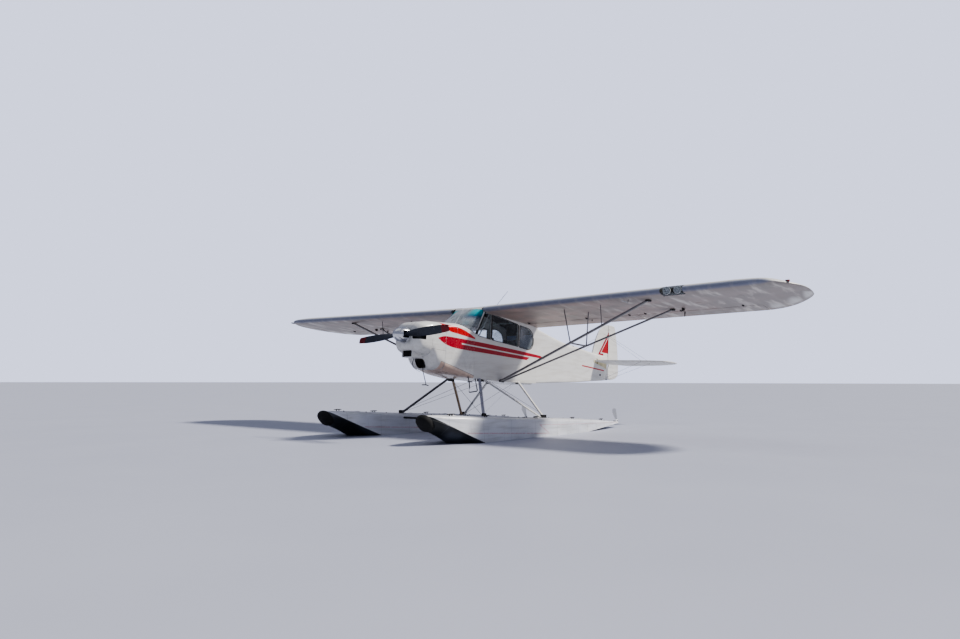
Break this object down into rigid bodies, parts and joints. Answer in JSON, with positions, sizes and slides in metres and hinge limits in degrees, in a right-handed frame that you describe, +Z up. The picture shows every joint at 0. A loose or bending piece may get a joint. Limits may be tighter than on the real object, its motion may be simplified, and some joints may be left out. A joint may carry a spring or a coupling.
{
  "type": "floatplane",
  "caption": "High-wing light aircraft with two seats in tandem, on twin floats, with turning propeller, hinged control surfaces, flaps, two-leaf door and water rudders.",
  "frame": {"origin": "bottom centre of the part's bounding box: the float keels rest on Z = 0", "axes": "+X to the nose, +Y to port, +Z up; the airframe sits 4.3 degrees nose-up on the floats"},
  "size_m": [7.4772, 10.74, 2.8402],
  "materials": {
    "fabric_skin": "satin",
    "painted_metal": "gloss",
    "float_shell": "gloss",
    "glazing": "gloss",
    "bare_metal": "satin",
    "dark_bars": "satin",
    "engine_metal": "matte",
    "black_plastic": "matte",
    "black_steel": "satin",
    "seat_cloth": "matte",
    "blade_metal": "satin",
    "bumper_rubber": "matte"
  },
  "bodies": {
    "airframe_and_floats": {"wing_port": "fabric_skin", "wing_starboard": "fabric_skin", "stabilizer_port": "fabric_skin", "stabilizer_starboard": "fabric_skin", "cabin_side_port": "fabric_skin", "cabin_side_starboard": "fabric_skin", "fuselage_rear": "fabric_skin", "fin": "fabric_skin", "wing_strut_front_port": "painted_metal", "wing_strut_front_starboard": "painted_metal", "wing_strut_rear_port": "painted_metal", "wing_strut_rear_starboard": "painted_metal", "float_strut_front_port": "painted_metal", "float_strut_front_starboard": "painted_metal", "float_strut_rear_port": "painted_metal", "float_strut_rear_starboard": "painted_metal", "float_strut_diagonal_port": "painted_metal", "float_strut_diagonal_starboard": "painted_metal", "cabin_roof": "painted_metal", "belly": "painted_metal", "boot_cowl": "painted_metal", "engine_cowling": "painted_metal", "float_port": "float_shell", "float_starboard": "float_shell", "landing_light": "glazing", "window_port_front": "glazing", "window_port_middle": "glazing", "window_port_rear": "glazing", "window_starboard_front": "glazing", "window_starboard_rear": "glazing", "skylight": "glazing", "windshield": "glazing", "firewall": "bare_metal", "spreader_bar_front": "dark_bars", "spreader_bar_rear": "dark_bars", "engine_block": "engine_metal", "instrument_panel": "black_plastic", "antenna": "black_plastic", "boarding_step": "black_steel", "seat_front": "seat_cloth", "seat_rear": "seat_cloth", "bow_bumper_port": "bumper_rubber", "bow_bumper_starboard": "bumper_rubber"},
    "propeller_body": {"propeller": "blade_metal", "spinner": "bare_metal"},
    "rudder_body": {"rudder": "fabric_skin"},
    "elevator_body": {"elevator_port": "fabric_skin", "elevator_starboard": "fabric_skin", "elevator_tube": "bare_metal"},
    "aileron_port_body": {"aileron_port": "fabric_skin"},
    "aileron_starboard_body": {"aileron_starboard": "fabric_skin"},
    "flap_port_body": {"flap_port": "fabric_skin"},
    "flap_starboard_body": {"flap_starboard": "fabric_skin"},
    "door_upper_body": {"door_upper": "painted_metal", "window_door": "glazing"},
    "door_lower_body": {"door_lower": "painted_metal"},
    "water_rudder_port_body": {"water_rudder_port": "bare_metal"},
    "water_rudder_starboard_body": {"water_rudder_starboard": "bare_metal"}
  },
  "joints": [
    {"name": "propeller_spin", "type": "hinge", "parent": "airframe_and_floats", "child": "propeller_body", "pos_m": [3.03282, 0, 1.89086], "axis": [0.9972, 0, 0.075], "continuous": true},
    {"name": "rudder_swing", "type": "hinge", "parent": "airframe_and_floats", "child": "rudder_body", "pos_m": [-3.27229, 0, 1.56219], "axis": [-0.075, 0, 0.9972], "range_deg": [-28, 28]},
    {"name": "elevator_swing", "type": "hinge", "parent": "airframe_and_floats", "child": "elevator_body", "pos_m": [-3.23839, 0, 1.56474], "axis": [0, 1, 0], "range_deg": [-20, 28]},
    {"name": "aileron_port_swing", "type": "hinge", "parent": "airframe_and_floats", "child": "aileron_port_body", "pos_m": [0.25164, 3.5, 2.29746], "axis": [-0.0012, 0.9999, 0.016], "range_deg": [-18, 18]},
    {"name": "aileron_starboard_swing", "type": "hinge", "parent": "airframe_and_floats", "child": "aileron_starboard_body", "pos_m": [0.25164, -3.5, 2.29746], "axis": [0.0012, 0.9999, -0.016], "range_deg": [-18, 18]},
    {"name": "flap_port_drop", "type": "hinge", "parent": "airframe_and_floats", "child": "flap_port_body", "pos_m": [0.25405, 1.5, 2.26544], "axis": [0.0012, -0.9999, -0.016], "range_deg": [0, 50]},
    {"name": "flap_starboard_drop", "type": "hinge", "parent": "airframe_and_floats", "child": "flap_starboard_body", "pos_m": [0.25405, -1.5, 2.26544], "axis": [-0.0012, -0.9999, 0.016], "range_deg": [0, 50]},
    {"name": "door_upper_lift", "type": "hinge", "parent": "airframe_and_floats", "child": "door_upper_body", "pos_m": [0.86145, -0.368, 2.20093], "axis": [-0.9972, 0, -0.075], "range_deg": [0, 85]},
    {"name": "door_lower_drop", "type": "hinge", "parent": "airframe_and_floats", "child": "door_lower_body", "pos_m": [0.92436, -0.368, 1.36429], "axis": [0.9972, 0, 0.075], "range_deg": [0, 85]},
    {"name": "water_rudder_port_lower", "type": "hinge", "parent": "airframe_and_floats", "child": "water_rudder_port_body", "pos_m": [-1.6885, 1.085, 0.42], "axis": [0, -1, 0], "range_deg": [0, 170]},
    {"name": "water_rudder_starboard_lower", "type": "hinge", "parent": "airframe_and_floats", "child": "water_rudder_starboard_body", "pos_m": [-1.6885, -1.085, 0.42], "axis": [0, -1, 0], "range_deg": [0, 170]}
  ],
  "couplings": [
    {"joint": "aileron_starboard_swing", "follows": "aileron_port_swing", "ratio": -1},
    {"joint": "flap_starboard_drop", "follows": "flap_port_drop", "ratio": 1},
    {"joint": "water_rudder_starboard_lower", "follows": "water_rudder_port_lower", "ratio": 1}
  ]
}
